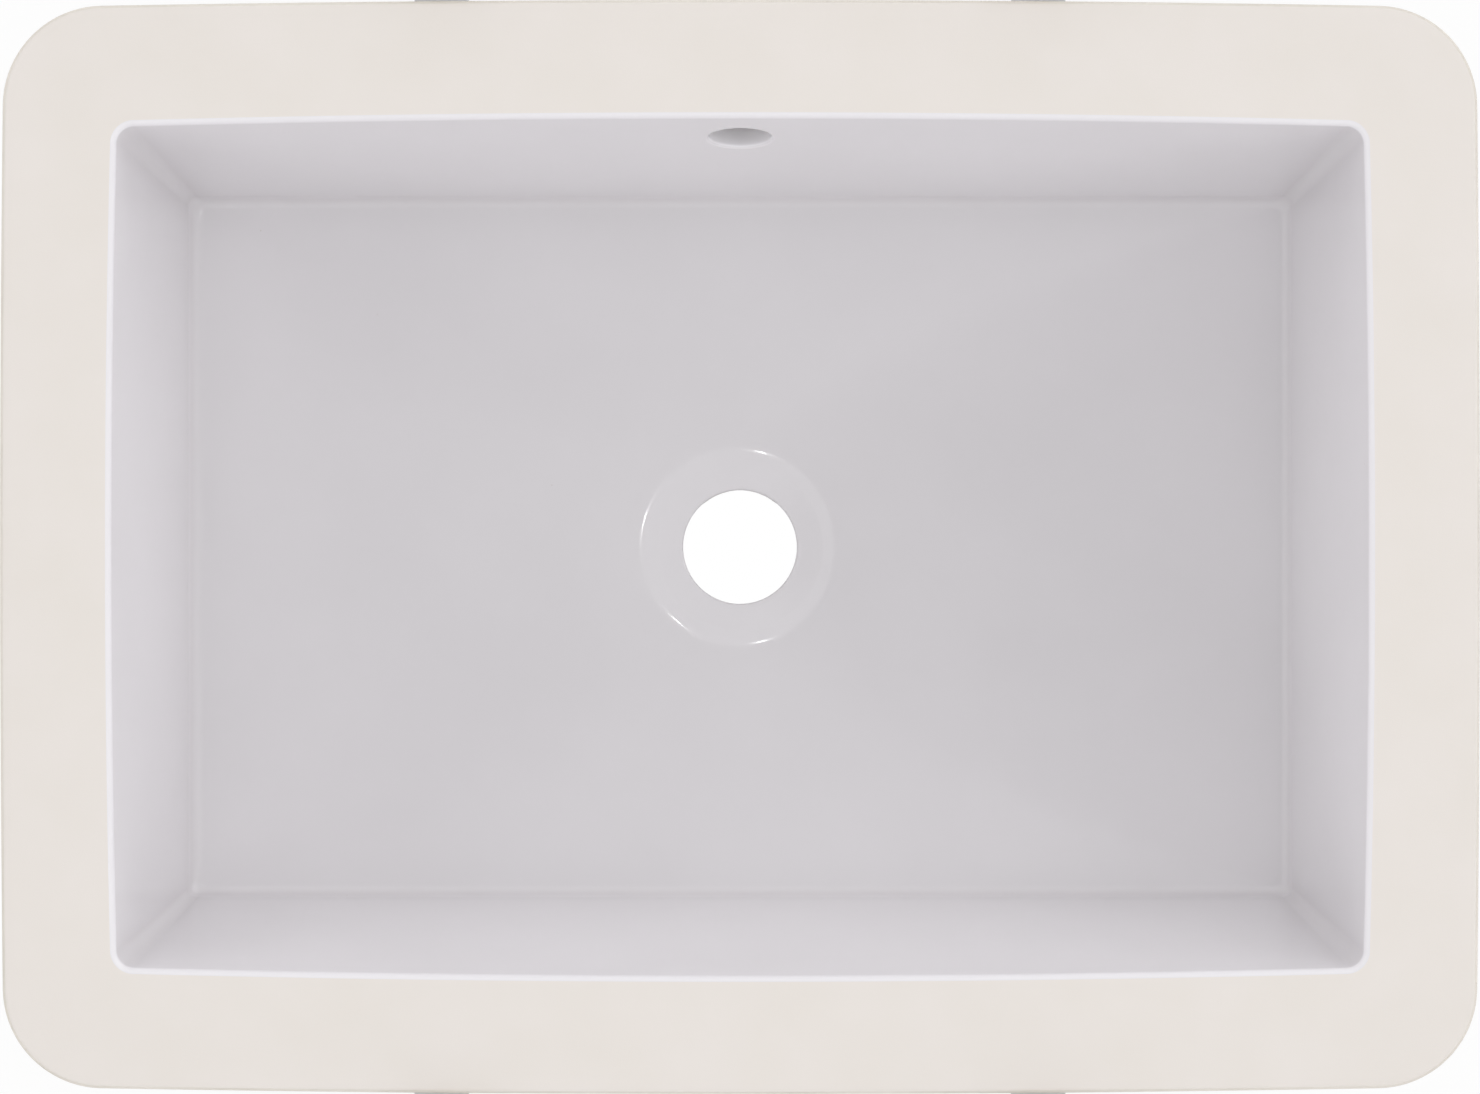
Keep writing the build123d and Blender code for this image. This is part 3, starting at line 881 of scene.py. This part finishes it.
def build_lights():
    """A soft sky that is brighter low down, as between studio walls, but not at the horizon, and
    straight overhead, a large soft lamp from the right and four small ones round the camera. By the
    cosine of the angle from straight above, the sky is three S-curves added up."""
    world = bpy.data.worlds.new("studio_sky")
    bpy.context.scene.world = world
    world.use_nodes = True
    tree = world.node_tree
    sky = tree.nodes["Background"]
    sky.inputs["Color"].default_value = (1, 1, 1, 1)
    direction = add_node(tree, "ShaderNodeTexCoord").outputs["Generated"]
    height = add_node(tree, "ShaderNodeSeparateXYZ", links={"Vector": direction}).outputs["Z"]
    horizon, low_down, overhead = (
        add_node(
            tree,
            "ShaderNodeMapRange",
            {"interpolation_type": "SMOOTHSTEP"},
            {"From Min": start, "From Max": end, "To Min": at_start, "To Max": at_end},
            {"Value": height},
        ).outputs["Result"]
        for start, end, at_start, at_end in (
            (0.05, 0.35, -0.95, 0),
            (0.4, 0.7, 1.74, 0.36),
            (0.85, 0.97, 0, 1.39),
        )
    )
    walls = add_node(
        tree, "ShaderNodeMath", {"operation": "ADD"}, links={0: horizon, 1: low_down}
    )
    strength = add_node(
        tree, "ShaderNodeMath", {"operation": "ADD"}, links={0: walls.outputs[0], 1: overhead}
    )
    tree.links.new(strength.outputs[0], sky.inputs["Strength"])
    tree.links.new(
        seen_white(tree, sky.outputs[0]), tree.nodes["World Output"].inputs["Surface"]
    )
    add_lamp("key_softbox", azimuth=29, zenith=50, distance=6.0, size=3.5, power=35.5)
    for k, (azimuth, zenith) in enumerate(((-16, 9), (-103, 15), (50, 14), (103, 15))):
        add_lamp(
            f"ceiling_spot_{k + 1}",
            azimuth,
            zenith,
            distance=15.0,
            size=0.4,
            power=19.0,
            shape="DISK",
        )


def build_camera(height):
    """A camera straight above the outlet whose frame is as wide as the basin, and a view that
    shows colours as they are written."""
    frame_width = 0.5951
    camera = bpy.data.cameras.new("camera")
    camera.sensor_width = 36.0
    camera.lens = camera.sensor_width * height / frame_width
    camera.clip_end = 10 * height
    obj = bpy.data.objects.new("camera", camera)
    obj.location = (0, 0, height)
    bpy.context.scene.collection.objects.link(obj)
    bpy.context.scene.camera = obj
    bpy.context.scene.view_settings.view_transform = "Standard"


# The add-on


class WashbasinLook(bpy.types.PropertyGroup):
    outlet_diameter: bpy.props.FloatProperty(
        name="Outlet",
        description="Diameter of the waste bore",
        default=46 * MM,
        unit="LENGTH",
    )
    seat_diameter: bpy.props.FloatProperty(
        name="Seat",
        description="Diameter of the waste's seat",
        default=78 * MM,
        unit="LENGTH",
    )
    seat_round: bpy.props.FloatProperty(
        name="Seat lip",
        description="Rounding of the seat's outer edge",
        default=25 * MM,
        unit="LENGTH",
    )
    floor_softness: bpy.props.FloatProperty(
        name="Floor softness",
        description="How far the floor's level lines round off half-way to the outlet",
        default=30 * MM,
        unit="LENGTH",
    )
    overflow_diameter: bpy.props.FloatProperty(
        name="Overflow",
        description="Diameter of the overflow hole",
        default=25 * MM,
        unit="LENGTH",
    )
    overflow_round: bpy.props.FloatProperty(
        name="Overflow lip",
        description="Rounding of the hole's edge",
        default=1.5 * MM,
        unit="LENGTH",
    )
    glaze_reach: bpy.props.FloatProperty(
        name="Glaze reach",
        description="Share of the lip's rounding that the glaze covers",
        default=1.0,
        subtype="FACTOR",
        min=0,
        max=1,
    )
    thread_pitch: bpy.props.FloatProperty(
        name="Thread pitch",
        description="Rise of the studs' thread in a turn",
        default=1 * MM,
        unit="LENGTH",
    )
    glaze_colour: bpy.props.StringProperty(
        name="Glaze",
        description="sRGB hex of the glaze",
        default="E0DDE0",
    )
    glaze_shade: bpy.props.StringProperty(
        name="Glaze shade",
        description="sRGB hex of the glaze where it lies thicker",
        default="DEDBDE",
    )
    # painted shade: the grey painted into the crease and the corners
    glaze_pooled: bpy.props.StringProperty(
        name="Pooled glaze",
        description="sRGB hex of the glaze in creases and corners",
        default="D6D2D5",
    )
    # painted highlight: the white painted onto the lip and into the overflow's bore
    glaze_thin: bpy.props.StringProperty(
        name="Thin glaze",
        description="sRGB hex of the glaze on sharp edges",
        default="F6F4F8",
    )
    ground_colour: bpy.props.StringProperty(
        name="Ground rim",
        description="sRGB hex of the rim",
        default="E7E1DC",
    )
    ground_shade: bpy.props.StringProperty(
        name="Ground rim shade",
        description="sRGB hex of the rim's darker patches",
        default="E5DFD9",
    )
    cast_colour: bpy.props.StringProperty(
        name="Bare china",
        description="sRGB hex of the outside",
        default="E2DCD4",
    )
    cast_shade: bpy.props.StringProperty(
        name="Bare china shade",
        description="sRGB hex of the outside's patches",
        default="DAD4CB",
    )
    camera_height: bpy.props.FloatProperty(
        name="Camera height",
        description="Camera above the rim",
        default=20.0,
        unit="LENGTH",
    )


class WASHBASIN_OT_china(bpy.types.Operator):
    """Makes the glazed bowl with its ground rim, outlet and overflow hole"""

    bl_idname = "washbasin.china"
    bl_label = "Build china bowl"

    def execute(self, context):
        look = context.scene.washbasin_look
        build_china(look)
        build_duct_joint(look)
        finish_node("overflow_duct", bare_cast_china, look)
        return {"FINISHED"}


class WASHBASIN_OT_hardware(bpy.types.Operator):
    """Cuts the threads and gives the anchors, clips, pads, washers and wing nuts their finishes"""

    bl_idname = "washbasin.hardware"
    bl_label = "Build fixing clips"

    def execute(self, context):
        look = context.scene.washbasin_look
        finishes = {
            "anchor": turned_brass,
            "clip": zinc_plated_strip,
            "pad": moulded_rubber,
            "washer": zinc_plated_steel,
            "wing_nut": zinc_casting,
        }
        for place in PLACES:
            build_stud(look, place)
            for kind, maker in finishes.items():
                finish_node(f"{kind}_{place}", maker, look)
        return {"FINISHED"}


class WASHBASIN_OT_stage(bpy.types.Operator):
    """Sets the pale floor, the soft lights and the camera straight above the basin"""

    bl_idname = "washbasin.stage"
    bl_label = "Set the studio"

    def execute(self, context):
        look = context.scene.washbasin_look
        foot = CAD_BOX[0][2]
        lay_paper("studio_floor", 60.0, foot - 0.4 * MM, share_near=0.78, share_far=0.95)
        lay_paper("outlet_backing", 0.03, foot - 0.2 * MM, share_near=1.0, share_far=1.0)
        build_lights()
        under_camera = 0.2
        build_scrim(look.camera_height - under_camera)
        build_camera(look.camera_height)
        return {"FINISHED"}


class WASHBASIN_PT_panel(bpy.types.Panel):
    """Lists the basin's sizes, colours and pieces"""

    bl_idname = "WASHBASIN_PT_panel"
    bl_label = "Undermount washbasin"
    bl_space_type = "VIEW_3D"
    bl_region_type = "UI"
    bl_category = "Washbasin"

    def draw(self, context):
        look = context.scene.washbasin_look
        for name in WashbasinLook.__annotations__:
            self.layout.prop(look, name)
        for operator in (WASHBASIN_OT_china, WASHBASIN_OT_hardware, WASHBASIN_OT_stage):
            self.layout.operator(operator.bl_idname)


CLASSES = (
    WashbasinLook,
    WASHBASIN_OT_china,
    WASHBASIN_OT_hardware,
    WASHBASIN_OT_stage,
    WASHBASIN_PT_panel,
)


def register():
    for cls in CLASSES:
        bpy.utils.register_class(cls)
    bpy.types.Scene.washbasin_look = bpy.props.PointerProperty(type=WashbasinLook)


def unregister():
    del bpy.types.Scene.washbasin_look
    for cls in reversed(CLASSES):
        bpy.utils.unregister_class(cls)


def main():
    """Registers the add-on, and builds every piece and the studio."""
    register()
    bpy.ops.washbasin.china()
    bpy.ops.washbasin.hardware()
    bpy.ops.washbasin.stage()


if __name__ == "__main__":
    main()
